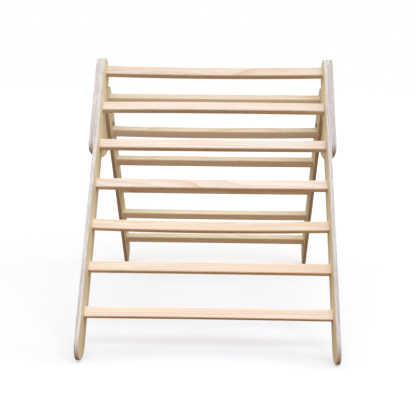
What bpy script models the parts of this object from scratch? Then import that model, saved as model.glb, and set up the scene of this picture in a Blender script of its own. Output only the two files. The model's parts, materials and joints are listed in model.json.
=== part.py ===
"""Folding climbing triangle: two ladders of plywood rails and pine slat rungs.

The front ladder carries a thicker plywood gusset plate outside each rail. The rear ladder
hangs between the plates on two pivot connectors and swings forward to fold. When it is
open, the round top ends of its rails stand against the rear edges of the front rails.

Metres, +Z up. The ground is z = 0, the front ladder faces -Y and X = 0 is the middle.
Each ladder is drawn in its own side plane: Y runs back through the rail, Z runs up it.
"""

import math

import bmesh
import bpy
from mathutils import Matrix, Vector

# Ladders
LADDER_WIDTH = 0.700          # clear width between the rails, filled by the rungs
PLY = 0.012                   # plywood of the rails
RAIL_DEPTH = 0.096            # width of the plank that each rail is cut from
RUNG_HEIGHT = 0.030           # slat size along the rail
RUNG_DEPTH = 0.025            # slat size through the rail
RUNG_PITCH = 0.136            # rung to rung, along the rail
FRONT_RUNGS = 7
REAR_RUNGS = 6
FRONT_FOOT_TO_RUNG = 0.088    # from the centre of the round foot to the lowest rung
REAR_FOOT_TO_RUNG = 0.077
FRONT_RUNG_TO_TOP = 0.042     # from the top rung to the end of the rail
REAR_RUNG_TO_TOP = 0.040
FRONT_LEAN = math.radians(36.8)
REAR_LEAN = math.radians(33.2)

# Gusset plates
PLATE_PLY = 0.015             # plywood of the plates
PLATE_RUNGS = 3               # top front rungs whose screws also hold the plate
PLATE_BELOW_RUNG = 0.0575     # from the lowest of these rungs straight down to the belly
BELLY_AHEAD = 0.012           # how far the belly's lowest point lies ahead of the rail's top
BELLY_RADIUS = 0.435          # long curve along the plate's lower side
PLATE_CORNER_RADIUS = 0.024
NOTCH_RADIUS = 0.004          # inner corner between the front rail and the rear rail's end

# Pivot connectors: a bolt from outside in a sleeve nut from inside
PIVOT_ABOVE_RUNG = 0.0335     # from the rear ladder's second rung from the top
PIVOT_HEAD_RADIUS = 0.0075
BOLT_HEAD_HEIGHT = 0.0030
NUT_HEAD_HEIGHT = 0.0045
PIVOT_HEAD_ROUND = 0.0009
SOCKET_FLATS = 0.0050
SOCKET_DEPTH = 0.0020
SLEEVE_RADIUS = 0.0045
SLEEVE_LENGTH = 0.0225
PIVOT_BOLT_RADIUS = 0.0030
PIVOT_BOLT_LENGTH = 0.0225

# Countersunk rung screws
SCREW_RADIUS = 0.0025
SCREW_BITE = 0.0360           # length inside the end of the rung
SCREW_POINT = 0.0050
SCREW_HEAD_RADIUS = 0.0050
SCREW_HEAD_RIM = 0.0005
SCREW_HEAD_HEIGHT = 0.0030

# Finish, fits and facets
RUNG_ROUND = 0.0040           # rounded long edges of the slats
RUNG_ROUND_STEPS = 3
PLY_EASE = 0.0012             # eased edges of the plywood
GAP = 0.0003                  # between pieces that touch
STOP_GAP = 0.0005             # between the rear rail's end and the front rail when open
OVERRUN = 0.0020              # how far a cutter runs past the face that it opens
ARC_ERROR = 0.00015           # how far an arc's chords may lie inside the true curve
SCREW_SIDES = 12
PIVOT_SIDES = 24
HEXAGON = 6

# Worked out from the sizes above
RAIL_HALF = RAIL_DEPTH / 2
OPEN_ANGLE = FRONT_LEAN + REAR_LEAN
FRONT_TOP_INSET = RAIL_HALF - FRONT_RUNG_TO_TOP
REAR_TOP_INSET = RAIL_HALF - REAR_RUNG_TO_TOP
FRONT_RUN = FRONT_FOOT_TO_RUNG + RUNG_PITCH * (FRONT_RUNGS - 1) - FRONT_TOP_INSET
REAR_RUN = REAR_FOOT_TO_RUNG + RUNG_PITCH * (REAR_RUNGS - 1) - REAR_TOP_INSET
PIVOT_RUN = REAR_FOOT_TO_RUNG + RUNG_PITCH * (REAR_RUNGS - 2) + PIVOT_ABOVE_RUNG
PLATE_REACH = RUNG_PITCH * (PLATE_RUNGS - 1) - FRONT_TOP_INSET
PLATE_DROP = PLATE_REACH * math.cos(FRONT_LEAN) + PLATE_BELOW_RUNG

# Places across the ladder, from the middle outwards
RAIL_IN = LADDER_WIDTH / 2
RAIL_MIDDLE = RAIL_IN + PLY / 2
RAIL_OUT = RAIL_IN + PLY
PLATE_IN = RAIL_OUT + GAP
PLATE_MIDDLE = PLATE_IN + PLATE_PLY / 2
PLATE_OUT = PLATE_IN + PLATE_PLY

# The open rear ladder in the front ladder's side plane
REAR_UP = Vector((-math.sin(OPEN_ANGLE), math.cos(OPEN_ANGLE)))
REAR_BACK = Vector((math.cos(OPEN_ANGLE), math.sin(OPEN_ANGLE)))
TOP_BACK = RAIL_DEPTH + STOP_GAP
TOP_RISE = REAR_RUN * math.cos(REAR_LEAN)
TOP_UP = (TOP_RISE + TOP_BACK * math.sin(FRONT_LEAN)) / math.cos(FRONT_LEAN)
REAR_TOP = Vector((TOP_BACK, TOP_UP))
PIVOT = REAR_TOP - REAR_UP * (REAR_RUN - PIVOT_RUN)
BASE_LENGTH = (TOP_UP * math.sin(FRONT_LEAN) + TOP_BACK * math.cos(FRONT_LEAN)
               + REAR_RUN * math.sin(REAR_LEAN))

SIDES = ((-1, "left"), (1, "right"))


def clear_scene():
    for item in list(bpy.data.objects):
        bpy.data.objects.remove(item, do_unlink=True)


def finish(name, colour, roughness, metallic=0.0):
    material = bpy.data.materials.new(name)
    material.use_nodes = True
    shader = material.node_tree.nodes["Principled BSDF"]
    shader.inputs["Base Color"].default_value = (*colour, 1.0)
    shader.inputs["Roughness"].default_value = roughness
    shader.inputs["Metallic"].default_value = metallic
    return material


def ladder_frame(name, location, lean):
    """An empty that carries one ladder, leaning back by the given angle."""
    empty = bpy.data.objects.new(name, None)
    empty.location = location
    empty.rotation_euler = (-lean, 0.0, 0.0)
    bpy.context.scene.collection.objects.link(empty)
    return empty


def piece(name, mesh, material, parent, location, side=1):
    """One named sub-part of a ladder; side -1 turns it round to face left."""
    item = bpy.data.objects.new(name, mesh)
    if not mesh.materials:
        mesh.materials.append(material)
        mesh.shade_smooth()
        mesh.set_sharp_from_angle(angle=math.radians(30))
    item.parent = parent
    item.location = location
    item.rotation_euler = (0.0, 0.0, 0.0 if side > 0 else math.pi)
    bpy.context.scene.collection.objects.link(item)
    return item


# Outlines, drawn in the side plane as (back, up) points that run counterclockwise

def arc(centre, radius, start, end):
    """Points of an arc from one angle to another, both ends included."""
    step = 2 * math.acos(1 - ARC_ERROR / radius)
    count = max(1, math.ceil(abs(end - start) / step))
    angles = [start + (end - start) * index / count for index in range(count + 1)]
    return [Vector(centre) + radius * Vector((math.cos(a), math.sin(a))) for a in angles]


def heading(vector):
    return math.atan2(vector.y, vector.x)


def rail_outline(run, lean):
    """A plank with full round ends and a point exactly where the foot meets the ground."""
    ground = lean - math.pi / 2
    outline = arc((0.0, 0.0), RAIL_HALF, -math.pi, ground)
    outline += arc((0.0, 0.0), RAIL_HALF, ground, 0.0)[1:]
    outline += arc((0.0, run), RAIL_HALF, 0.0, math.pi)
    return outline


def plate_outline():
    """The gusset plate: flush with both rails outside, a curved belly between them."""
    front_top = Vector((0.0, FRONT_RUN))
    world_up = Vector((-math.sin(FRONT_LEAN), math.cos(FRONT_LEAN)))
    world_ahead = Vector((-math.cos(FRONT_LEAN), -math.sin(FRONT_LEAN)))
    belly = front_top + world_up * (BELLY_RADIUS - PLATE_DROP) + world_ahead * BELLY_AHEAD
    inner_radius = BELLY_RADIUS - PLATE_CORNER_RADIUS

    # The front corner's centre is one corner radius inside the front edge and the belly
    front_back = PLATE_CORNER_RADIUS - RAIL_HALF
    drop = math.sqrt(inner_radius ** 2 - (front_back - belly.x) ** 2)
    front_corner = Vector((front_back, belly.y - drop))

    # The rear corner's centre is as far inside the rear rail's rear edge and the belly
    line_start = REAR_TOP + REAR_BACK * (RAIL_HALF - PLATE_CORNER_RADIUS)
    offset = line_start - belly
    along = offset.dot(REAR_UP)
    travel = along + math.sqrt(along ** 2 - offset.length_squared + inner_radius ** 2)
    rear_corner = line_start - REAR_UP * travel

    # The notch circle touches the front rail's rear edge and the rear rail's round end
    notch_back = RAIL_HALF + NOTCH_RADIUS
    rise = math.sqrt(notch_back ** 2 - (REAR_TOP.x - notch_back) ** 2)
    notch = Vector((notch_back, REAR_TOP.y + rise))

    front_belly = heading(front_corner - belly)
    rear_belly = heading(rear_corner - belly)
    rear_edge = heading(REAR_BACK)
    to_notch = heading(notch - REAR_TOP)

    outline = arc(front_corner, PLATE_CORNER_RADIUS, -math.pi, front_belly)
    outline += arc(belly, BELLY_RADIUS, front_belly, rear_belly)[1:]
    outline += arc(rear_corner, PLATE_CORNER_RADIUS, rear_belly, rear_edge)[1:]
    outline += arc(REAR_TOP, RAIL_HALF, rear_edge, to_notch)
    outline += arc(notch, NOTCH_RADIUS, to_notch - math.pi, -math.pi)[1:]
    outline += arc(front_top, RAIL_HALF, 0.0, math.pi)
    return outline


# Meshes

def to_mesh(shape):
    mesh = bpy.data.meshes.new("shape")
    shape.to_mesh(mesh)
    shape.free()
    return mesh


def prism(outline, thickness, ease):
    """Extrude a side-plane outline along X and ease the edges round both faces."""
    shape = bmesh.new()
    corners = [shape.verts.new((-thickness / 2, back, up)) for back, up in outline]
    cap = shape.faces.new(corners)
    swept = bmesh.ops.extrude_face_region(shape, geom=[cap])["geom"]
    moved = [item for item in swept if isinstance(item, bmesh.types.BMVert)]
    bmesh.ops.translate(shape, verts=moved, vec=(thickness, 0.0, 0.0))
    bmesh.ops.recalc_face_normals(shape, faces=shape.faces)
    rims = [edge for edge in shape.edges if abs(edge.verts[0].co.x - edge.verts[1].co.x) < ease]
    bmesh.ops.bevel(shape, geom=rims, offset=ease, offset_type="OFFSET", segments=1,
                    profile=0.5, affect="EDGES")
    return to_mesh(shape)


def turned(profile, sides):
    """Revolve (place along X, radius) points about the X axis, from axis to axis."""
    shape = bmesh.new()
    turns = [2 * math.pi * index / sides for index in range(sides)]
    rings = []
    for place, radius in profile:
        if radius == 0.0:
            ring = [shape.verts.new((place, 0.0, 0.0))]
        else:
            ring = [shape.verts.new((place, radius * math.cos(a), radius * math.sin(a)))
                    for a in turns]
        rings.append(ring)
    for first, second in zip(rings, rings[1:]):
        for index in range(sides):
            after = (index + 1) % sides
            if len(first) == 1:
                shape.faces.new((first[0], second[index], second[after]))
            elif len(second) == 1:
                shape.faces.new((first[index], second[0], first[after]))
            else:
                shape.faces.new((first[index], second[index], second[after], first[after]))
    bmesh.ops.recalc_face_normals(shape, faces=shape.faces)
    return to_mesh(shape)


def drill(radius, length, sides):
    """A plain round cutter along X, centred on its middle."""
    profile = [(-length / 2, 0.0), (-length / 2, radius), (length / 2, radius), (length / 2, 0.0)]
    return turned(profile, sides)


def carved(mesh, cutters):
    """The mesh with cutters taken out, each given as (mesh, place, side it faces)."""
    joined = bmesh.new()
    for cutter, place, side in cutters:
        placed = cutter.copy()
        turn = Matrix.Rotation(0.0 if side > 0 else math.pi, 4, "Z")
        placed.transform(Matrix.Translation(place) @ turn)
        joined.from_mesh(placed)
        bpy.data.meshes.remove(placed)
    body = bpy.data.objects.new("body", mesh)
    tool = bpy.data.objects.new("tool", to_mesh(joined))
    for item in (body, tool):
        bpy.context.scene.collection.objects.link(item)
    cut = body.modifiers.new("cut", "BOOLEAN")
    cut.operation = "DIFFERENCE"
    cut.solver = "EXACT"
    cut.object = tool
    evaluated = body.evaluated_get(bpy.context.evaluated_depsgraph_get())
    result = bpy.data.meshes.new_from_object(evaluated)
    for item in (body, tool):
        bpy.data.objects.remove(item)
    return result


# Fasteners, drawn along X for the right side

def screw(sheets):
    """A countersunk screw through the given depth of plywood; its head's face is at 0."""
    length = sheets + SCREW_BITE - GAP
    return turned([
        (0.0, 0.0),
        (0.0, SCREW_HEAD_RADIUS),
        (-SCREW_HEAD_RIM, SCREW_HEAD_RADIUS),
        (-SCREW_HEAD_HEIGHT, SCREW_RADIUS),
        (SCREW_POINT - length, SCREW_RADIUS),
        (-length, 0.0),
    ], SCREW_SIDES)


def countersink(sheet):
    """The cutter for one screw through one sheet; the sheet's outer face is at 0."""
    return turned([
        (OVERRUN, 0.0),
        (OVERRUN, SCREW_HEAD_RADIUS + GAP),
        (-SCREW_HEAD_RIM - 2 * GAP, SCREW_HEAD_RADIUS + GAP),
        (-SCREW_HEAD_HEIGHT - 2 * GAP, SCREW_RADIUS + GAP),
        (-sheet - OVERRUN, SCREW_RADIUS + GAP),
        (-sheet - OVERRUN, 0.0),
    ], SCREW_SIDES)


def with_socket(mesh, face):
    """A hexagon socket in the head whose outer face is at the given place."""
    radius = SOCKET_FLATS / 2 / math.cos(math.pi / HEXAGON)
    return carved(mesh, [(drill(radius, 2 * SOCKET_DEPTH, HEXAGON), (face, 0.0, 0.0), 1)])


def pivot_bolt():
    """Low head outside the plate and a shank inwards; the plate's outer face is at 0."""
    head = GAP + BOLT_HEAD_HEIGHT
    bolt = turned([
        (head, 0.0),
        (head, PIVOT_HEAD_RADIUS - PIVOT_HEAD_ROUND),
        (head - PIVOT_HEAD_ROUND, PIVOT_HEAD_RADIUS),
        (GAP, PIVOT_HEAD_RADIUS),
        (GAP, PIVOT_BOLT_RADIUS),
        (-PIVOT_BOLT_LENGTH, PIVOT_BOLT_RADIUS),
        (-PIVOT_BOLT_LENGTH, 0.0),
    ], PIVOT_SIDES)
    return with_socket(bolt, head)


def sleeve_nut():
    """Low head inside the rear rail and a sleeve outwards; the rail's inner face is at 0."""
    head = GAP + NUT_HEAD_HEIGHT
    bore_end = PLATE_OUT - RAIL_IN - PIVOT_BOLT_LENGTH - SOCKET_DEPTH
    nut = turned([
        (-head, 0.0),
        (-head, PIVOT_HEAD_RADIUS - PIVOT_HEAD_ROUND),
        (PIVOT_HEAD_ROUND - head, PIVOT_HEAD_RADIUS),
        (-GAP, PIVOT_HEAD_RADIUS),
        (-GAP, SLEEVE_RADIUS),
        (SLEEVE_LENGTH, SLEEVE_RADIUS),
        (SLEEVE_LENGTH, PIVOT_BOLT_RADIUS + GAP),
        (bore_end, PIVOT_BOLT_RADIUS + GAP),
        (bore_end, 0.0),
    ], PIVOT_SIDES)
    return with_socket(nut, -head)


# Holes and the pieces that have them

def screw_hole_through():
    return drill(SCREW_RADIUS + GAP, PLY + 2 * OVERRUN, SCREW_SIDES)


def pivot_hole_through(sheet):
    return drill(SLEEVE_RADIUS + GAP, sheet + 2 * OVERRUN, PIVOT_SIDES)


def rung_mesh():
    """A slat with rounded long edges and a screw hole in the middle of each end."""
    length = LADDER_WIDTH - 2 * GAP
    shape = bmesh.new()
    bmesh.ops.create_cube(shape, size=1.0)
    bmesh.ops.scale(shape, verts=shape.verts, vec=(length, RUNG_DEPTH, RUNG_HEIGHT))
    long_edges = [edge for edge in shape.edges if edge.calc_length() > length - RUNG_HEIGHT]
    bmesh.ops.bevel(shape, geom=long_edges, offset=RUNG_ROUND, offset_type="OFFSET",
                    segments=RUNG_ROUND_STEPS, profile=0.5, affect="EDGES")
    hole = drill(SCREW_RADIUS + GAP, 2 * (SCREW_BITE + GAP), SCREW_SIDES)
    return carved(to_mesh(shape), [(hole, (side * RAIL_IN, 0.0, 0.0), side) for side, _ in SIDES])


def rail_mesh(run, lean, side, sunk, plain):
    """A rail with sunk screw holes, and plain ones where the plate covers it."""
    outer_face = side * PLY / 2
    cutters = [(countersink(PLY), (outer_face, 0.0, up), side) for up in sunk]
    cutters += [(screw_hole_through(), (0.0, 0.0, up), side) for up in plain]
    return carved(prism(rail_outline(run, lean), PLY, PLY_EASE), cutters)


def plate_mesh(side, sunk):
    outer_face = side * PLATE_PLY / 2
    cutters = [(countersink(PLATE_PLY), (outer_face, 0.0, up), side) for up in sunk]
    cutters.append((pivot_hole_through(PLATE_PLY), (0.0, PIVOT.x, PIVOT.y), side))
    return carved(prism(plate_outline(), PLATE_PLY, PLY_EASE), cutters)


# Ladders

def rung_places(first, count):
    """Numbered heights of a ladder's rungs, from the lowest up."""
    return [(index + 1, first + RUNG_PITCH * index) for index in range(count)]


def build_front(frame, ply, plate_ply, pine, steel, pivot_steel):
    """The front ladder with its gusset plates, measured up from the round feet."""
    places = rung_places(FRONT_FOOT_TO_RUNG, FRONT_RUNGS)
    own, shared = places[:-PLATE_RUNGS], places[-PLATE_RUNGS:]
    own_heights = [up for _, up in own]
    shared_heights = [up for _, up in shared]

    rung = rung_mesh()
    for number, up in places:
        piece(f"front_rung_{number}", rung, pine, frame, (0.0, 0.0, up))

    rung_screw = screw(PLY)
    plate_screw = screw(PLATE_OUT - RAIL_IN)
    bolt = pivot_bolt()
    nut = sleeve_nut()
    for side, label in SIDES:
        rail = rail_mesh(FRONT_RUN, FRONT_LEAN, side, own_heights, shared_heights)
        piece(f"front_rail_{label}", rail, ply, frame, (side * RAIL_MIDDLE, 0.0, 0.0))
        plate = plate_mesh(side, shared_heights)
        piece(f"gusset_plate_{label}", plate, plate_ply, frame, (side * PLATE_MIDDLE, 0.0, 0.0))
        for number, up in own:
            piece(f"front_rung_screw_{number}_{label}", rung_screw, steel, frame,
                  (side * (RAIL_OUT - GAP), 0.0, up), side)
        for number, up in shared:
            piece(f"plate_screw_{number}_{label}", plate_screw, steel, frame,
                  (side * (PLATE_OUT - GAP), 0.0, up), side)
        piece(f"pivot_bolt_{label}", bolt, pivot_steel, frame,
              (side * PLATE_OUT, PIVOT.x, PIVOT.y), side)
        piece(f"pivot_sleeve_nut_{label}", nut, pivot_steel, frame,
              (side * RAIL_IN, PIVOT.x, PIVOT.y), side)


def build_rear(frame, ply, pine, steel):
    """The rear ladder, measured up its rails from the pivot."""
    places = rung_places(REAR_FOOT_TO_RUNG - PIVOT_RUN, REAR_RUNGS)
    from_foot = [up + PIVOT_RUN for _, up in places]

    rung = rung_mesh()
    for number, up in places:
        piece(f"rear_rung_{number}", rung, pine, frame, (0.0, 0.0, up))

    rung_screw = screw(PLY)
    for side, label in SIDES:
        rail = rail_mesh(REAR_RUN, -REAR_LEAN, side, from_foot, [])
        rail = carved(rail, [(pivot_hole_through(PLY), (0.0, 0.0, PIVOT_RUN), side)])
        piece(f"rear_rail_{label}", rail, ply, frame, (side * RAIL_MIDDLE, 0.0, -PIVOT_RUN))
        for number, up in places:
            piece(f"rear_rung_screw_{number}_{label}", rung_screw, steel, frame,
                  (side * (RAIL_OUT - GAP), 0.0, up), side)


def main():
    clear_scene()
    front_ply = finish("front rail plywood", (0.74, 0.66, 0.50), 0.55)
    rear_ply = finish("rear rail plywood", (0.70, 0.61, 0.46), 0.55)
    plate_ply = finish("gusset plate plywood", (0.76, 0.68, 0.53), 0.55)
    front_pine = finish("front slat pine", (0.90, 0.80, 0.66), 0.50)
    rear_pine = finish("rear slat pine", (0.86, 0.75, 0.58), 0.50)
    screw_steel = finish("screw steel", (0.45, 0.44, 0.42), 0.35, 1.0)
    pivot_steel = finish("dark pivot steel", (0.16, 0.17, 0.18), 0.35, 1.0)

    front_foot = Vector((0.0, -BASE_LENGTH / 2, RAIL_HALF))
    front_up = Vector((0.0, math.sin(FRONT_LEAN), math.cos(FRONT_LEAN)))
    front_back = Vector((0.0, math.cos(FRONT_LEAN), -math.sin(FRONT_LEAN)))
    pivot_point = front_foot + front_back * PIVOT.x + front_up * PIVOT.y

    front = ladder_frame("front_ladder", front_foot, FRONT_LEAN)
    rear = ladder_frame("rear_ladder", pivot_point, -REAR_LEAN)
    build_front(front, front_ply, plate_ply, front_pine, screw_steel, pivot_steel)
    build_rear(rear, rear_ply, rear_pine, screw_steel)
    bpy.context.view_layer.update()


main()
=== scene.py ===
import json
import math

import bmesh
import bpy
from mathutils import Matrix, Vector


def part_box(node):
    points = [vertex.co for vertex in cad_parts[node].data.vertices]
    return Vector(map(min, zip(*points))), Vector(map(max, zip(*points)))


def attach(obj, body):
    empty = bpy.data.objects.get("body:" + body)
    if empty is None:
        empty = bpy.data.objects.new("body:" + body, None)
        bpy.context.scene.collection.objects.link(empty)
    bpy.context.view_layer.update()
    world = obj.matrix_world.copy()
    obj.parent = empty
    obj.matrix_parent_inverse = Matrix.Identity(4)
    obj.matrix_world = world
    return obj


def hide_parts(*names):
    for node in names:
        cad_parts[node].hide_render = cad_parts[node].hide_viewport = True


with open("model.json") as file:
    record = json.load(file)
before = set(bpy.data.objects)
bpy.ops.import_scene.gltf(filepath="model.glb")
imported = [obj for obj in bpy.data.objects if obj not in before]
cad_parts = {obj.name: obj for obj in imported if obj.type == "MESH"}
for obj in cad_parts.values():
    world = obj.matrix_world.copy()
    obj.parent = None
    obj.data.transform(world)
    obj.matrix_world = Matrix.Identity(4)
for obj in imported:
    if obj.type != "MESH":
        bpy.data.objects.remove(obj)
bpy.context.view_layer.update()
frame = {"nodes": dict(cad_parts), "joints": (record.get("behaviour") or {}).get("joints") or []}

# Looks of a folding climbing triangle. Metres, +Z up, the front ladder faces -Y.
# Each ladder has a side plane of its own: Y runs back through the rail, Z runs up it.

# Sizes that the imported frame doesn't say by itself
PLY = 0.012
PLATE_PLY = 0.015
RAIL_HALF = 0.048
RUNG_HEIGHT = 0.030
RUNG_DEPTH = 0.025
RUNG_ROUND = 0.004
RUNG_TO_TOP = {"front": 0.042, "rear": 0.040}
PLY_EASE = 0.0012
GAP = 0.0003
PLATE_RUNGS = 3
PLATE_BELOW_RUNG = 0.0575
BELLY_AHEAD = 0.012
BELLY_RADIUS = 0.435
PLATE_CORNER_RADIUS = 0.024
NOTCH_RADIUS = 0.004
SCREW_RADIUS = 0.0025
SCREW_HEAD_RADIUS = 0.0050
SCREW_HEAD_RIM = 0.0005
SCREW_HEAD_HEIGHT = 0.0030
SCREW_POINT = 0.0050
RECESS_REACH = 0.0028
RECESS_HALF_WIDTH = 0.0006
RECESS_DEPTH = 0.0018
RECESS_TURN = math.radians(20)
SCREW_TO_SCREW_TURN = math.radians(137.5)
LENGTH_DIGITS = 4
SLEEVE_RADIUS = 0.0045
OVERRUN = 0.0020

ARC_STEP = math.radians(4)
EASE_STEPS = 3
ROUND_STEPS = 6
RUNG_STATIONS = 24
TURNED_SIDES = 40
BOARD_SHARP_FROM = math.radians(35)
SLAT_SHARP_FROM = math.radians(50)
SCREW_SHARP_FROM = math.radians(40)
SIDES = ((-1, "left"), (1, "right"))

# How far slats bow along the ladder at their middles, as the photographed ones do
BOWS = {
    "front": (0.0012, 0.0006, -0.0052, -0.0014, -0.0008, 0.0020, -0.0044),
    "rear": (0.0004, -0.0014, -0.0008, -0.0006, -0.0044, -0.0010),
}
# How far each slat's left and right ends sit above its place in the solids
ENDS = {
    "front": ((0.0003, 0.0020), (0.0018, 0.0024), (0.0, 0.0016), (0.0, 0.0004), (0.0006, 0.0016),
              (0.0003, 0.0004), (0.0018, 0.0015)),
    "rear": ((0.0, 0.0), (0.0, 0.0), (0.0, 0.0), (0.0, 0.0), (-0.0012, -0.0006), (0.0, 0.0)),
}
# How far each slat is turned about its screws, in degrees, its underside away from the front
TURNS = {
    "front": (5.0, 2.5, 3.5, 1.0, 1.0, 0.0, 4.0),
    "rear": (-3.0, -3.0, -2.0, -3.0, -5.0, 0.0),
}
# How pale and pink each slat is, from 0, warm, to 1, pale
PALENESS = {
    "front": (0.70, 0.35, 0.30, 1.00, 1.00, 1.00, 0.70),
    "rear": (0.40, 0.70, 0.20, 0.55, 0.35, 0.40),
}
# How light each slat's wood is beside the others: partly the slat's own tone and partly painted light
# and shade, the lower slats lightened and the upper ones darkened for how the lamps reach them
SLAT_TONES_AND_PAINTED_LIGHT = {
    "front": (1.10, 1.05, 1.035, 1.02, 1.01, 1.0, 0.92),
    "rear": (1.05, 1.06, 0.99, 1.0, 0.90, 0.93),
}
# How light the plies at the edges of each board are, left and right: painted light and shade, the front
# boards' and plates' left edges lighter and their right edges darker as the light falls, the rear
# boards' edges lifted evenly
PAINTED_EDGE_LIGHT_AND_SHADE = {"front": (1.07, 1.01), "rear": (1.02, 1.02), "plate": (1.04, 0.91)}
FOOT_FLARE = 0.0030
FLARE_START = 0.10
FLARE_LENGTH = 0.148


# Ladders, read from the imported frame

def middle(node):
    low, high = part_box(node)
    return (low + high) / 2


class Ladder:
    """A ladder's side plane: origin at the round foot's centre, Z up through the rungs."""

    def __init__(self, name, body):
        self.name = name
        self.body = body
        self.rungs = sorted(node for node in frame["nodes"]
                            if node.startswith(f"{name}_rung_") and "screw" not in node)
        lowest, highest = middle(self.rungs[0]), middle(self.rungs[-1])
        self.up = (highest - lowest).normalized()
        across = Vector((1, 0, 0))
        self.back = self.up.cross(across)
        self.foot = lowest + self.up * ((RAIL_HALF - lowest.z) / self.up.z)
        self.matrix = Matrix((across, self.back, self.up)).transposed().to_4x4()
        self.matrix.translation = self.foot
        self.heights = [(middle(n) - self.foot).dot(self.up) for n in self.rungs]
        self.run = self.heights[-1] + RUNG_TO_TOP[name] - RAIL_HALF
        self.lean = math.atan2(self.up.y, self.up.z)

    def local(self, point):
        return self.matrix.inverted() @ point


front = Ladder("front", "front_frame")
rear = Ladder("rear", "rear_frame")
rail_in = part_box("front_rail_right")[0].x
rail_out = rail_in + PLY
plate_in = rail_out + GAP
pivot = Vector(frame["joints"][0]["pos_m"])


# Node graphs of the materials. A noise's scales say how many marks it has to a metre along each axis.

RING_WIDTH = 0.0062
SLOW_SWAY = 0.060
QUICK_SWAY = 0.0022
FIBRE_BUMP = 0.0003
VENEER_CONTOURS = 14.0
RAIL_PLIES = 9
PLATE_PLIES = 11
PLATING_MOTTLE = 420.0
PLATING_BUMP = 0.0001


class Graph:
    """A material with short ways to add and join its nodes."""

    def __init__(self, name):
        self.material = bpy.data.materials.new(name)
        self.material.use_nodes = True
        self.tree = self.material.node_tree
        self.shader = self.tree.nodes["Principled BSDF"]

    def put(self, socket, value):
        if isinstance(value, bpy.types.NodeSocket):
            self.tree.links.new(value, socket)
        elif isinstance(value, tuple) and len(value) == 3 and socket.type == "RGBA":
            socket.default_value = (*value, 1.0)
        else:
            socket.default_value = value

    def node(self, kind, settings=None, **inputs):
        made = self.tree.nodes.new(kind)
        for key, value in (settings or {}).items():
            setattr(made, key, value)
        for key, value in inputs.items():
            self.put(made.inputs[key.replace("_", " ")], value)
        return made

    def maths(self, operation, first, second=0.0, clamp=False):
        made = self.tree.nodes.new("ShaderNodeMath")
        made.operation = operation
        made.use_clamp = clamp
        self.put(made.inputs[0], first)
        self.put(made.inputs[1], second)
        return made.outputs[0]

    def stretched(self, vector, scales):
        made = self.node("ShaderNodeMapping", Vector=vector)
        made.inputs["Scale"].default_value = scales
        return made.outputs["Vector"]

    def noise(self, vector, scales, detail=2.0, roughness=0.5):
        made = self.node("ShaderNodeTexNoise", Vector=self.stretched(vector, scales), Scale=1.0,
                         Detail=detail, Roughness=roughness)
        return made.outputs["Fac"]

    def ramp(self, factor, stops, interpolation="LINEAR"):
        made = self.node("ShaderNodeValToRGB", Fac=factor)
        band = made.color_ramp
        band.interpolation = interpolation
        while len(band.elements) < len(stops):
            band.elements.new(1.0)
        for element, (place, value) in zip(band.elements, stops):
            element.position = place
            element.color = (*value, 1.0) if isinstance(value, tuple) else (value, value, value, 1.0)
        return made.outputs["Color"]

    def mix(self, factor, first, second, blend="MIX"):
        made = self.tree.nodes.new("ShaderNodeMix")
        made.data_type = "RGBA"
        made.blend_type = blend
        self.put(made.inputs["Factor"], factor)
        self.put(made.inputs[6], first)
        self.put(made.inputs[7], second)
        return made.outputs[2]

    def between(self, factor, low, high):
        """The factor spread from 0..1 to low..high."""
        made = self.node("ShaderNodeMapRange", Value=factor, To_Min=low, To_Max=high)
        return made.outputs["Result"]

    def times(self, colour, factor):
        return self.mix(1.0, colour, factor, "MULTIPLY")

    def bumped(self, height, strength, distance):
        made = self.node("ShaderNodeBump", Strength=strength, Distance=distance, Height=height)
        self.tree.links.new(made.outputs["Normal"], self.shader.inputs["Normal"])

    def attribute(self, name):
        return self.node("ShaderNodeAttribute", {"attribute_name": name}).outputs["Vector"]

    def attribute_value(self, name):
        return self.node("ShaderNodeAttribute", {"attribute_name": name}).outputs["Fac"]

    def join(self, first, second, third):
        return self.node("ShaderNodeCombineXYZ", X=first, Y=second, Z=third).outputs["Vector"]

    def split(self, vector):
        return self.node("ShaderNodeSeparateXYZ", Vector=vector).outputs

    def dot(self, vector, direction):
        made = self.tree.nodes.new("ShaderNodeVectorMath")
        made.operation = "DOT_PRODUCT"
        self.put(made.inputs[0], vector)
        made.inputs[1].default_value = direction
        return made.outputs["Value"]


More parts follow.
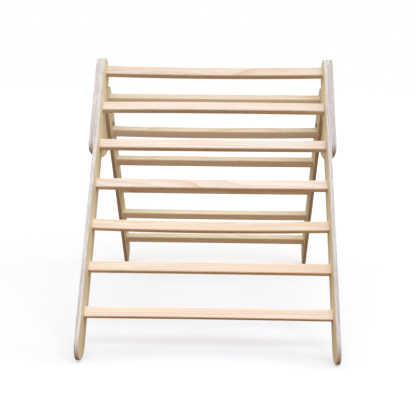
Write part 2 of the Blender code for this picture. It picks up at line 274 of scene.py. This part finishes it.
def pine_material(name, warm, pale, late):
    """Sawn softwood: growth rings about a log's pith, fine fibres and slow changes of tone."""
    g = Graph(name)
    log = g.attribute("log")
    part = g.split(log)
    radius = g.maths("SQRT", g.maths("ADD", g.maths("MULTIPLY", part["Y"], part["Y"]),
                                     g.maths("MULTIPLY", part["Z"], part["Z"])))
    slow = g.maths("SUBTRACT", g.noise(log, (1.5, 6.0, 6.0), 2.0, 0.4), 0.5)
    quick = g.maths("SUBTRACT", g.noise(log, (11.0, 60.0, 60.0), 2.0), 0.5)
    sway = g.maths("ADD", g.maths("MULTIPLY", slow, SLOW_SWAY), g.maths("MULTIPLY", quick, QUICK_SWAY))
    count = g.maths("DIVIDE", g.maths("ADD", radius, sway), RING_WIDTH)
    ring = g.maths("FRACT", count)
    line = g.ramp(ring, [(0.0, 0.0), (0.40, 0.12), (0.78, 0.70), (0.94, 1.0), (1.0, 0.0)])
    wide = g.noise(g.join(g.maths("FLOOR", count), 0.0, part["X"]), (0.77, 1.0, 2.2), 1.0)
    depth = g.ramp(wide, [(0.30, 0.12), (0.75, 0.85)])
    base = g.mix(g.attribute_value("paleness"), warm, pale)
    wood = g.mix(g.maths("MULTIPLY", line, depth), base, late)
    # Each slat's own tone with painted light and shade, from its tone attribute
    tone_and_painted_light = g.attribute_value("tone")
    wood = g.times(wood, g.join(tone_and_painted_light, tone_and_painted_light, tone_and_painted_light))
    tone = g.ramp(g.noise(log, (1.6, 45.0, 45.0), 2.0), [(0.30, 0.96), (0.70, 1.03)])
    wood = g.times(wood, tone)
    blush = g.noise(log, (3.4, 34.0, 34.0), 2.0, 0.45)
    flush = g.ramp(blush, [(0.42, (1.01, 1.03, 1.03)), (0.62, (0.99, 0.955, 0.92))])
    wood = g.times(wood, flush)
    fibre = g.noise(log, (14.0, 1300.0, 1300.0), 3.0, 0.6)
    wood = g.times(wood, g.ramp(fibre, [(0.25, 0.93), (0.7, 1.03)]))
    flecks = g.noise(log, (70.0, 900.0, 900.0), 1.0)
    wood = g.mix(g.ramp(flecks, [(0.66, 0.0), (0.80, 0.35)]), wood, late)
    g.put(g.shader.inputs["Base Color"], wood)
    g.put(g.shader.inputs["Roughness"], g.between(fibre, 0.58, 0.76))
    g.shader.inputs["Specular IOR Level"].default_value = 0.0
    g.bumped(fibre, 0.25, FIBRE_BUMP)
    return g.material


def plywood_material(name, ladder, sheet_size, plies, colours):
    """Rotary-cut veneer on the faces and a stack of plies on every edge of a ladder's boards."""
    face, face_line, long_ply, cross_ply, glue = colours
    g = Graph(name)
    sheet = g.attribute("sheet")
    part = g.split(sheet)

    figure = g.noise(sheet, (1.0, 7.0, 0.8), 2.0, 0.45)
    contour = g.maths("FRACT", g.maths("MULTIPLY", figure, VENEER_CONTOURS))
    streak = g.ramp(contour, [(0.0, 0.0), (0.55, 0.12), (0.85, 0.8), (1.0, 0.0)])
    fibre = g.noise(sheet, (300.0, 1500.0, 22.0), 3.0, 0.6)
    pores = g.ramp(g.noise(sheet, (200.0, 2400.0, 90.0), 1.0), [(0.60, 0.0), (0.75, 1.0)])
    veneer = g.mix(g.maths("MULTIPLY", streak, 0.38), face, face_line)
    veneer = g.mix(g.maths("MULTIPLY", pores, 0.14), veneer, face_line)
    veneer = g.times(veneer, g.ramp(fibre, [(0.25, 0.93), (0.7, 1.03)]))
    tone = g.ramp(g.noise(sheet, (1.0, 9.0, 3.0), 3.0), [(0.32, 0.92), (0.68, 1.04)])
    veneer = g.times(veneer, tone)

    depth = g.maths("ADD", g.maths("DIVIDE", part["X"], sheet_size), 0.5)
    layer = g.maths("MULTIPLY", depth, float(plies))
    number = g.maths("FLOOR", layer)
    crossed = g.maths("GREATER_THAN", g.maths("MODULO", layer, 2.0), 1.0)
    seam = g.maths("ABSOLUTE", g.maths("SUBTRACT", g.maths("FRACT", layer), 0.5))
    glued = g.ramp(seam, [(0.40, 0.0), (0.48, 1.0)])
    normal = g.node("ShaderNodeTexCoord").outputs["Normal"]
    upright = g.maths("ABSOLUTE", g.dot(normal, ladder.up))
    swapped = g.maths("ABSOLUTE", g.maths("SUBTRACT", crossed, upright))
    ends = g.mix(swapped, long_ply, cross_ply)
    ends = g.mix(g.maths("MULTIPLY", glued, 0.55), ends, glue)
    apart = g.join(g.maths("MULTIPLY", number, 3.7), part["Y"], part["Z"])
    patch = g.noise(apart, (1.0, 9.0, 26.0), 3.0, 0.6)
    ends = g.times(ends, g.ramp(patch, [(0.30, 0.72), (0.62, 1.10)]))
    group = g.noise(sheet, (310.0, 3.0, 4.0), 1.0)
    ends = g.times(ends, g.ramp(group, [(0.34, 0.84), (0.60, 1.10)]))
    grit = g.noise(sheet, (700.0, 260.0, 260.0), 2.0, 0.6)
    ends = g.times(ends, g.ramp(grit, [(0.25, 0.88), (0.75, 1.06)]))
    # Painted light and shade on the edge plies, from the board's tone attribute
    tone_and_painted_light = g.attribute_value("tone")
    ends = g.times(ends, g.join(tone_and_painted_light, tone_and_painted_light, tone_and_painted_light))

    sideways = g.maths("ABSOLUTE", g.dot(normal, Vector((1, 0, 0))))
    facing = g.ramp(sideways, [(0.55, 0.0), (0.92, 1.0)])
    g.put(g.shader.inputs["Base Color"], g.mix(facing, ends, veneer))
    g.put(g.shader.inputs["Roughness"], g.between(fibre, 0.60, 0.78))
    g.shader.inputs["Specular IOR Level"].default_value = 0.0
    g.bumped(fibre, 0.25, FIBRE_BUMP)
    return g.material


def steel_material(name, colour, roughness):
    """Plated steel with a mottled plating."""
    g = Graph(name)
    place = g.node("ShaderNodeTexCoord").outputs["Object"]
    mottle = g.noise(place, (PLATING_MOTTLE,) * 3, 3.0, 0.6)
    dark = tuple(0.72 * part for part in colour)
    g.put(g.shader.inputs["Base Color"], g.mix(g.ramp(mottle, [(0.3, 0.0), (0.7, 1.0)]), dark, colour))
    g.put(g.shader.inputs["Roughness"], g.between(mottle, roughness - 0.08, roughness + 0.10))
    g.shader.inputs["Metallic"].default_value = 1.0
    g.bumped(mottle, 0.15, PLATING_BUMP)
    return g.material


# Outlines and meshes, as in the CAD but finer

def towards(side):
    """Turns what points to +X towards the side given as -1, left, or 1, right."""
    return Matrix.Rotation(0.0 if side > 0 else math.pi, 4, "Z")


def arc(centre, radius, start, end):
    count = max(1, math.ceil(abs(end - start) / ARC_STEP))
    angles = [start + (end - start) * index / count for index in range(count + 1)]
    return [Vector(centre) + radius * Vector((math.cos(a), math.sin(a))) for a in angles]


def heading(vector):
    return math.atan2(vector.y, vector.x)


def rail_outline(ladder):
    ground = ladder.lean - math.pi / 2
    outline = arc((0, 0), RAIL_HALF, -math.pi, ground)
    outline += arc((0, 0), RAIL_HALF, ground, 0.0)[1:]
    outline += arc((0, ladder.run), RAIL_HALF, 0.0, math.pi)
    return outline


def flat(vector):
    """A world direction or a front-ladder point as (back, up) in the front side plane."""
    return Vector((vector.y, vector.z))


def plate_outline():
    """Flush with both rails outside, a curved belly between them."""
    turn = front.matrix.to_3x3().inverted()
    front_top = Vector((0, front.run))
    rear_top = flat(front.local(rear.foot + rear.up * rear.run))
    rear_up = flat(turn @ rear.up)
    rear_back = flat(turn @ rear.back)
    world_up = flat(turn @ Vector((0, 0, 1)))
    world_ahead = flat(turn @ Vector((0, -1, 0)))
    drop = (front.run - front.heights[-PLATE_RUNGS]) * front.up.z + PLATE_BELOW_RUNG
    belly = front_top + world_up * (BELLY_RADIUS - drop) + world_ahead * BELLY_AHEAD
    inner_radius = BELLY_RADIUS - PLATE_CORNER_RADIUS

    front_back = PLATE_CORNER_RADIUS - RAIL_HALF
    reach = math.sqrt(inner_radius ** 2 - (front_back - belly.x) ** 2)
    front_corner = Vector((front_back, belly.y - reach))

    line_start = rear_top + rear_back * (RAIL_HALF - PLATE_CORNER_RADIUS)
    offset = line_start - belly
    along = offset.dot(rear_up)
    travel = along + math.sqrt(along ** 2 - offset.length_squared + inner_radius ** 2)
    rear_corner = line_start - rear_up * travel

    notch_back = RAIL_HALF + NOTCH_RADIUS
    rise = math.sqrt(notch_back ** 2 - (rear_top.x - notch_back) ** 2)
    notch = Vector((notch_back, rear_top.y + rise))

    front_belly = heading(front_corner - belly)
    rear_belly = heading(rear_corner - belly)
    rear_edge = heading(rear_back)
    to_notch = heading(notch - rear_top)
    outline = arc(front_corner, PLATE_CORNER_RADIUS, -math.pi, front_belly)
    outline += arc(belly, BELLY_RADIUS, front_belly, rear_belly)[1:]
    outline += arc(rear_corner, PLATE_CORNER_RADIUS, rear_belly, rear_edge)[1:]
    outline += arc(rear_top, RAIL_HALF, rear_edge, to_notch)
    outline += arc(notch, NOTCH_RADIUS, to_notch - math.pi, -math.pi)[1:]
    outline += arc(front_top, RAIL_HALF, 0.0, math.pi)
    return outline


def to_mesh(shape, name):
    mesh = bpy.data.meshes.new(name)
    shape.to_mesh(mesh)
    shape.free()
    return mesh


def prism(outline, start, end):
    """An outline of (back, up) points drawn out along X."""
    shape = bmesh.new()
    cap = shape.faces.new([shape.verts.new((start, back, up)) for back, up in outline])
    swept = bmesh.ops.extrude_face_region(shape, geom=[cap])["geom"]
    moved = [item for item in swept if isinstance(item, bmesh.types.BMVert)]
    bmesh.ops.translate(shape, verts=moved, vec=(end - start, 0, 0))
    bmesh.ops.recalc_face_normals(shape, faces=shape.faces)
    return shape


def board(outline, thickness, name):
    """A sheet cut to an outline, with softly rounded edges round both faces."""
    shape = prism(outline, -thickness / 2, thickness / 2)
    rims = [e for e in shape.edges if abs(e.verts[0].co.x - e.verts[1].co.x) < PLY_EASE]
    bmesh.ops.bevel(shape, geom=rims, offset=PLY_EASE, offset_type="OFFSET", segments=EASE_STEPS,
                    profile=0.5, affect="EDGES")
    return to_mesh(shape, name)


def turned(profile, sides, name):
    """Revolve (place along X, radius) points about the X axis, from axis to axis."""
    shape = bmesh.new()
    turns = [2 * math.pi * index / sides for index in range(sides)]
    rings = []
    for place, radius in profile:
        if radius == 0:
            rings.append([shape.verts.new((place, 0, 0))])
        else:
            rings.append([shape.verts.new((place, radius * math.cos(a), radius * math.sin(a)))
                          for a in turns])
    for first, second in zip(rings, rings[1:]):
        for index in range(sides):
            after = (index + 1) % sides
            if len(first) == 1:
                shape.faces.new((first[0], second[index], second[after]))
            elif len(second) == 1:
                shape.faces.new((first[index], second[0], first[after]))
            else:
                shape.faces.new((first[index], second[index], second[after], first[after]))
    bmesh.ops.recalc_face_normals(shape, faces=shape.faces)
    return to_mesh(shape, name)


def drill(radius, length, sides):
    profile = [(-length / 2, 0), (-length / 2, radius), (length / 2, radius), (length / 2, 0)]
    return turned(profile, sides, "drill")


def carved(mesh, cutters):
    """The mesh with cutters taken out, each given as (mesh, place, side it faces)."""
    joined = bmesh.new()
    for cutter, place, side in cutters:
        placed = cutter.copy()
        placed.transform(Matrix.Translation(place) @ towards(side))
        joined.from_mesh(placed)
        bpy.data.meshes.remove(placed)
    body = bpy.data.objects.new("body", mesh)
    tool = bpy.data.objects.new("tool", to_mesh(joined, "tool"))
    for item in (body, tool):
        bpy.context.scene.collection.objects.link(item)
    cut = body.modifiers.new("cut", "BOOLEAN")
    cut.operation = "DIFFERENCE"
    cut.solver = "EXACT"
    cut.object = tool
    evaluated = body.evaluated_get(bpy.context.evaluated_depsgraph_get())
    result = bpy.data.meshes.new_from_object(evaluated)
    for item in (body, tool):
        bpy.data.objects.remove(item)
    return result


def countersink(sheet):
    return turned([
        (OVERRUN, 0),
        (OVERRUN, SCREW_HEAD_RADIUS + GAP),
        (-SCREW_HEAD_RIM - 2 * GAP, SCREW_HEAD_RADIUS + GAP),
        (-SCREW_HEAD_HEIGHT - 2 * GAP, SCREW_RADIUS + GAP),
        (-sheet - OVERRUN, SCREW_RADIUS + GAP),
        (-sheet - OVERRUN, 0),
    ], TURNED_SIDES, "countersink")


def slat(bow, ends):
    """A slat with rounded long edges that bows along the ladder between its ends."""
    left, right = ends
    half_length = rail_in - GAP
    section = []
    for corner in range(4):
        start = corner * math.pi / 2
        side_y = 1 if corner in (0, 3) else -1
        side_z = 1 if corner in (0, 1) else -1
        centre = (side_y * (RUNG_DEPTH / 2 - RUNG_ROUND), side_z * (RUNG_HEIGHT / 2 - RUNG_ROUND))
        for step in range(ROUND_STEPS + 1):
            angle = start + step * math.pi / 2 / ROUND_STEPS
            section.append((centre[0] + RUNG_ROUND * math.cos(angle),
                            centre[1] + RUNG_ROUND * math.sin(angle)))
    shape = bmesh.new()
    rings = []
    for station in range(RUNG_STATIONS + 1):
        share = 2 * station / RUNG_STATIONS - 1
        lift = bow * (1 - share ** 2) + (left + right) / 2 + (right - left) / 2 * share
        rings.append([shape.verts.new((share * half_length, back, up + lift)) for back, up in section])
    count = len(section)
    for first, second in zip(rings, rings[1:]):
        for index in range(count):
            after = (index + 1) % count
            shape.faces.new((first[index], second[index], second[after], first[after]))
    shape.faces.new(rings[0])
    shape.faces.new(rings[-1][::-1])
    bmesh.ops.recalc_face_normals(shape, faces=shape.faces)
    return to_mesh(shape, "slat")


def keep_places(mesh, name, matrix):
    """Store where each point lies in its own board or log, for the grain."""
    layer = mesh.attributes.new(name, "FLOAT_VECTOR", "POINT")
    for vertex, value in zip(mesh.vertices, layer.data):
        value.vector = matrix @ vertex.co


def keep_value(mesh, name, number):
    layer = mesh.attributes.new(name, "FLOAT", "POINT")
    for value in layer.data:
        value.value = number


def add_piece(name, mesh, material, ladder, place, nodes, side=1, sharp_from=BOARD_SHARP_FROM):
    """One visible piece that stands for CAD nodes and rides on their ladder."""
    mesh = mesh.copy()
    mesh.transform(ladder.matrix @ Matrix.Translation(place) @ towards(side))
    mesh.materials.clear()
    mesh.materials.append(material)
    mesh.shade_smooth()
    mesh.set_sharp_from_angle(angle=sharp_from)
    item = bpy.data.objects.new(name, mesh)
    bpy.context.scene.collection.objects.link(item)
    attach(item, ladder.body)
    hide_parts(*nodes)
    return item


def weighted(item):
    """Keeps flat faces flat beside their small rounded edges."""
    bend = item.modifiers.new("weighted", "WEIGHTED_NORMAL")
    bend.keep_sharp = True


# Materials

pine = {
    "front": pine_material("front_pine", (0.875, 0.76, 0.60), (0.875, 0.785, 0.70), (0.74, 0.51, 0.32)),
    "rear": pine_material("rear_pine", (0.91, 0.81, 0.62), (0.92, 0.845, 0.69), (0.72, 0.49, 0.28)),
}
pale_plies = ((0.83, 0.76, 0.54), (0.63, 0.51, 0.31), (0.79, 0.765, 0.74), (0.57, 0.53, 0.51),
              (0.34, 0.28, 0.27))
brown_plies = ((0.72, 0.65, 0.49), (0.55, 0.44, 0.28), (0.69, 0.55, 0.40), (0.48, 0.36, 0.25),
               (0.27, 0.18, 0.12))
plywood = {
    "front": plywood_material("front_plywood", front, PLY, RAIL_PLIES, pale_plies),
    "rear": plywood_material("rear_plywood", rear, PLY, RAIL_PLIES, brown_plies),
    "plate": plywood_material("plate_plywood", front, PLATE_PLY, PLATE_PLIES, pale_plies),
}
screw_steel = steel_material("screw_steel", (0.56, 0.55, 0.52), 0.34)
pivot_steel = steel_material("pivot_steel", (0.30, 0.30, 0.30), 0.40)


# Pieces

# How slats are spread over logs, and boards over a sheet of veneer. Turns and skews are in degrees.
SLAT_PICK, LADDER_PICK = 5, 3
SLAT_TURN, LADDER_TURN = 47, 31
SLAT_ALONG, LADDER_ALONG = 1.7, 0.9
SKEWS = 5
SKEW_STEP = 1.4
PITH_DISTANCES = 7
PITH_NEAREST = 0.040
PITH_STEP = 0.011
PITH_ASIDE = 0.020
SHEET_STEP = Vector((0.0, 0.37, 0.61))
FRONT_SHEET, REAR_SHEET, PLATE_SHEET = 1, 4, 7


def log_place(number, ladder_number):
    """Where in a log this slat was sawn: turned about its length, off the pith and askew to it."""
    pick = number * SLAT_PICK + ladder_number * LADDER_PICK
    turn = math.radians(SLAT_TURN * number + LADDER_TURN * ladder_number)
    skew = math.radians(SKEW_STEP * (pick % SKEWS - SKEWS // 2))
    off = Vector((SLAT_ALONG * number + LADDER_ALONG * ladder_number,
                  PITH_NEAREST + PITH_STEP * (pick % PITH_DISTANCES), PITH_ASIDE))
    return Matrix.Translation(off) @ Matrix.Rotation(skew, 4, "Z") @ Matrix.Rotation(turn, 4, "X")


def sheet_place(number):
    """Where in a wide sheet of veneer this board was cut."""
    return Matrix.Translation(SHEET_STEP * number)


def add_slats(ladder, number):
    name = ladder.name
    shapes = zip(ladder.rungs, ladder.heights, BOWS[name], ENDS[name], TURNS[name])
    looks = zip(PALENESS[name], SLAT_TONES_AND_PAINTED_LIGHT[name])
    rows = zip(shapes, looks)
    for index, ((node, height, bow, ends, turn), (paleness, tone)) in enumerate(rows, 1):
        mesh = slat(bow, ends)
        keep_places(mesh, "log", log_place(index, number))
        keep_value(mesh, "paleness", paleness)
        # The tone attribute holds the slat's own tone together with painted light and shade
        keep_value(mesh, "tone", tone)
        mesh.transform(Matrix.Rotation(math.radians(turn), 4, "X"))
        item = add_piece(f"{name}_slat_{index}", mesh, pine[name], ladder, (0, 0, height), [node],
                         sharp_from=SLAT_SHARP_FROM)
        weighted(item)


def flared(mesh, side):
    """The rail's foot bends outwards a little below the lowest rung."""
    for vertex in mesh.vertices:
        share = max(0.0, (FLARE_START - vertex.co.z) / FLARE_LENGTH)
        vertex.co.x += side * FOOT_FLARE * share ** 2
    return mesh


def add_rails(ladder, sunk, plain, sheet):
    for side, label in SIDES:
        outer = side * PLY / 2
        cutters = [(countersink(PLY), (outer, 0, up), side) for up in sunk]
        cutters += [(drill(SCREW_RADIUS + GAP, PLY + 2 * OVERRUN, TURNED_SIDES), (0, 0, up), side)
                    for up in plain]
        if ladder is rear:
            turn_hole = drill(SLEEVE_RADIUS + GAP, PLY + 2 * OVERRUN, TURNED_SIDES)
            cutters.append((turn_hole, (0, 0, ladder.local(pivot).z), side))
        mesh = carved(board(rail_outline(ladder), PLY, "rail"), cutters)
        keep_places(mesh, "sheet", sheet_place(sheet + side))
        # The tone attribute holds painted light and shade on this rail's edge plies
        keep_value(mesh, "tone", PAINTED_EDGE_LIGHT_AND_SHADE[ladder.name][side > 0])
        mesh = flared(mesh, side)
        item = add_piece(f"{ladder.name}_plank_{label}", mesh, plywood[ladder.name], ladder,
                         (side * (rail_in + PLY / 2), 0, 0), [f"{ladder.name}_rail_{label}"])
        weighted(item)


def add_plates(sunk):
    place = front.local(pivot)
    for side, label in SIDES:
        outer = side * PLATE_PLY / 2
        cutters = [(countersink(PLATE_PLY), (outer, 0, up), side) for up in sunk]
        turn_hole = drill(SLEEVE_RADIUS + GAP, PLATE_PLY + 2 * OVERRUN, TURNED_SIDES)
        cutters.append((turn_hole, (0, place.y, place.z), side))
        mesh = carved(board(plate_outline(), PLATE_PLY, "plate"), cutters)
        keep_places(mesh, "sheet", sheet_place(PLATE_SHEET + side))
        # The tone attribute holds painted light and shade on this plate's edge plies
        keep_value(mesh, "tone", PAINTED_EDGE_LIGHT_AND_SHADE["plate"][side > 0])
        item = add_piece(f"gusset_{label}", mesh, plywood["plate"], front,
                         (side * (plate_in + PLATE_PLY / 2), 0, 0), [f"gusset_plate_{label}"])
        weighted(item)


def screw_mesh(length):
    """A countersunk screw with a crossed recess in its head."""
    body = turned([
        (0, 0),
        (0, SCREW_HEAD_RADIUS - GAP / 2),
        (-GAP / 2, SCREW_HEAD_RADIUS),
        (-SCREW_HEAD_RIM, SCREW_HEAD_RADIUS),
        (-SCREW_HEAD_HEIGHT, SCREW_RADIUS),
        (SCREW_POINT - length, SCREW_RADIUS),
        (-length, 0),
    ], TURNED_SIDES, "screw")
    tip, half = RECESS_REACH, RECESS_HALF_WIDTH
    arm = [Vector((tip, -half)), Vector((tip, half)), Vector((half, half))]
    cross = [Matrix.Rotation(RECESS_TURN + turn * math.pi / 2, 2) @ corner
             for turn in range(4) for corner in arm]
    recess = to_mesh(prism(cross, -RECESS_DEPTH, OVERRUN), "recess")
    return carved(body, [(recess, (0, 0, 0), 1)])


def add_screws():
    """One mesh for each length of screw, turned anew for each screw."""
    made = {}
    screws = sorted(node for node in frame["nodes"] if "screw" in node)
    for number, node in enumerate(screws):
        low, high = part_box(node)
        length = high.x - low.x
        kind = round(length, LENGTH_DIGITS)
        if kind not in made:
            made[kind] = screw_mesh(length)
        side = 1 if low.x > 0 else -1
        head = high.x if side > 0 else low.x
        ladder = rear if node.startswith("rear") else front
        centre = (low + high) / 2
        spot = ladder.local(Vector((head, centre.y, centre.z)))
        mesh = made[kind].copy()
        mesh.transform(Matrix.Rotation(number * SCREW_TO_SCREW_TURN, 4, "X"))
        add_piece(node.replace("screw", "wood_screw"), mesh, screw_steel, ladder, spot, [node],
                  side, SCREW_SHARP_FROM)


# Floor, light and camera

FLOOR_HALF = 14.0
FLOOR_SEEN = (0.50, 0.50, 0.50)
FLOOR_BOUNCE = (0.20, 0.07, 0.002)
# The floor glows less near the object, so that a faint shadow is left there
NEAR_GLOW = (0.42, 0.43, 0.46)
FAR_GLOW = (0.66, 0.67, 0.76)
GLOW_REACH = 4.0
GLOW_STOPS = (0.10, 0.60)
WORLD_LIGHT = (1.0, 0.94, 0.70, 1.0)
WORLD_STRENGTH = 0.75
WHITE = (1.0, 1.0, 1.0, 1.0)
# Each lamp's name, place, size, power and colour
LAMPS = (
    ("key", (0.4, -3.0, 3.4), (4.0, 1.4), 72.5, (1.01, 1.075, 1.46)),
    ("left_fill", (-3.2, -0.3, 2.4), (1.6, 1.6), 19.0, (1.0, 1.04, 1.34)),
    ("right_fill", (3.2, -0.3, 2.4), (1.6, 1.6), 30.0, (1.0, 1.04, 1.34)),
    ("back_fill", (0.0, 3.4, 1.9), (2.0, 1.4), 30.0, (1.0, 1.04, 1.25)),
)
LAMP_TARGET = Vector((0.0, 0.0, 0.4))
PICTURE = 416.0
SENSOR = 36.0
FOCAL_PX = 762.166
CENTRE_PX = (208.0, 230.0)
YAW = math.radians(-1.6221)
PITCH = math.radians(-13.4498)
ROLL = math.radians(0.4075)
CAMERA_FROM_FEET = Vector((0.05515, -1.98344, 0.85051))


def seen_directly(tree):
    """1 for rays that show the background: from the camera, off gloss and through clear things."""
    path = tree.nodes.new("ShaderNodeLightPath")
    shown = path.outputs["Is Camera Ray"]
    for kind in ("Is Glossy Ray", "Is Transmission Ray"):
        either = tree.nodes.new("ShaderNodeMath")
        either.operation = "MAXIMUM"
        tree.links.new(shown, either.inputs[0])
        tree.links.new(path.outputs[kind], either.inputs[1])
        shown = either.outputs[0]
    return shown


def add_floor():
    shape = bmesh.new()
    bmesh.ops.create_grid(shape, x_segments=1, y_segments=1, size=FLOOR_HALF)
    floor = bpy.data.objects.new("floor", to_mesh(shape, "floor"))
    bpy.context.scene.collection.objects.link(floor)
    g = Graph("floor")
    tree = g.tree
    bounce = g.node("ShaderNodeBsdfDiffuse", Color=FLOOR_BOUNCE)
    seen = g.node("ShaderNodeBsdfDiffuse", Color=FLOOR_SEEN)
    place = g.stretched(g.node("ShaderNodeTexCoord").outputs["Object"], (1 / GLOW_REACH,) * 3)
    near = g.node("ShaderNodeTexGradient", {"gradient_type": "SPHERICAL"}, Vector=place).outputs["Fac"]
    glow_colour = g.ramp(near, list(zip(GLOW_STOPS, (FAR_GLOW, NEAR_GLOW))))
    glow = g.node("ShaderNodeEmission", Color=glow_colour, Strength=1.0)
    paper = g.node("ShaderNodeAddShader")
    tree.links.new(seen.outputs[0], paper.inputs[0])
    tree.links.new(glow.outputs[0], paper.inputs[1])
    choose = g.node("ShaderNodeMixShader")
    tree.links.new(seen_directly(tree), choose.inputs["Fac"])
    tree.links.new(bounce.outputs[0], choose.inputs[1])
    tree.links.new(paper.outputs[0], choose.inputs[2])
    tree.links.new(choose.outputs[0], tree.nodes["Material Output"].inputs["Surface"])
    floor.data.materials.append(g.material)


def add_world():
    world = bpy.data.worlds.new("studio")
    bpy.context.scene.world = world
    world.use_nodes = True
    tree = world.node_tree
    back = tree.nodes["Background"]
    shown = seen_directly(tree)
    colour = tree.nodes.new("ShaderNodeMix")
    colour.data_type = "RGBA"
    colour.inputs[6].default_value = WORLD_LIGHT
    colour.inputs[7].default_value = WHITE
    strength = tree.nodes.new("ShaderNodeMapRange")
    strength.inputs["To Min"].default_value = WORLD_STRENGTH
    strength.inputs["To Max"].default_value = 1.0
    tree.links.new(shown, colour.inputs["Factor"])
    tree.links.new(shown, strength.inputs["Value"])
    tree.links.new(colour.outputs[2], back.inputs["Color"])
    tree.links.new(strength.outputs["Result"], back.inputs["Strength"])


def add_area(name, place, size, power, colour):
    """A soft lamp aimed at the middle of the triangle."""
    data = bpy.data.lights.new(name, "AREA")
    data.shape = "RECTANGLE"
    data.size, data.size_y = size
    data.energy = power
    data.color = colour
    lamp = bpy.data.objects.new(name, data)
    lamp.location = place
    aim = LAMP_TARGET - Vector(place)
    lamp.rotation_euler = aim.to_track_quat("-Z", "Y").to_euler()
    bpy.context.scene.collection.objects.link(lamp)


def add_camera():
    """The photograph's view, with so little shift that other views keep the whole object."""
    ahead = Vector((math.cos(PITCH) * math.sin(YAW), math.cos(PITCH) * math.cos(YAW), math.sin(PITCH)))
    level = Vector((math.cos(YAW), -math.sin(YAW), 0))
    upward = level.cross(ahead)
    right = level * math.cos(ROLL) + upward * math.sin(ROLL)
    above = upward * math.cos(ROLL) - level * math.sin(ROLL)
    data = bpy.data.cameras.new("camera")
    data.sensor_width = SENSOR
    data.lens = FOCAL_PX / PICTURE * SENSOR
    data.shift_x = 0.5 - CENTRE_PX[0] / PICTURE
    data.shift_y = CENTRE_PX[1] / PICTURE - 0.5
    camera = bpy.data.objects.new("camera", data)
    bpy.context.scene.collection.objects.link(camera)
    camera.matrix_world = Matrix((right, above, -ahead)).transposed().to_4x4()
    camera.matrix_world.translation = CAMERA_FROM_FEET + Vector((0, front.foot.y, 0))
    bpy.context.scene.camera = camera


add_slats(front, 1)
add_slats(rear, 2)
add_rails(front, front.heights[:-PLATE_RUNGS], front.heights[-PLATE_RUNGS:], FRONT_SHEET)
add_rails(rear, rear.heights, [], REAR_SHEET)
add_plates(front.heights[-PLATE_RUNGS:])
add_screws()
for name, item in frame["nodes"].items():
    if name.startswith("pivot"):
        item.data.materials.clear()
        item.data.materials.append(pivot_steel)

add_floor()
add_world()
for lamp in LAMPS:
    add_area(*lamp)
add_camera()
bpy.context.scene.view_settings.view_transform = "Standard"
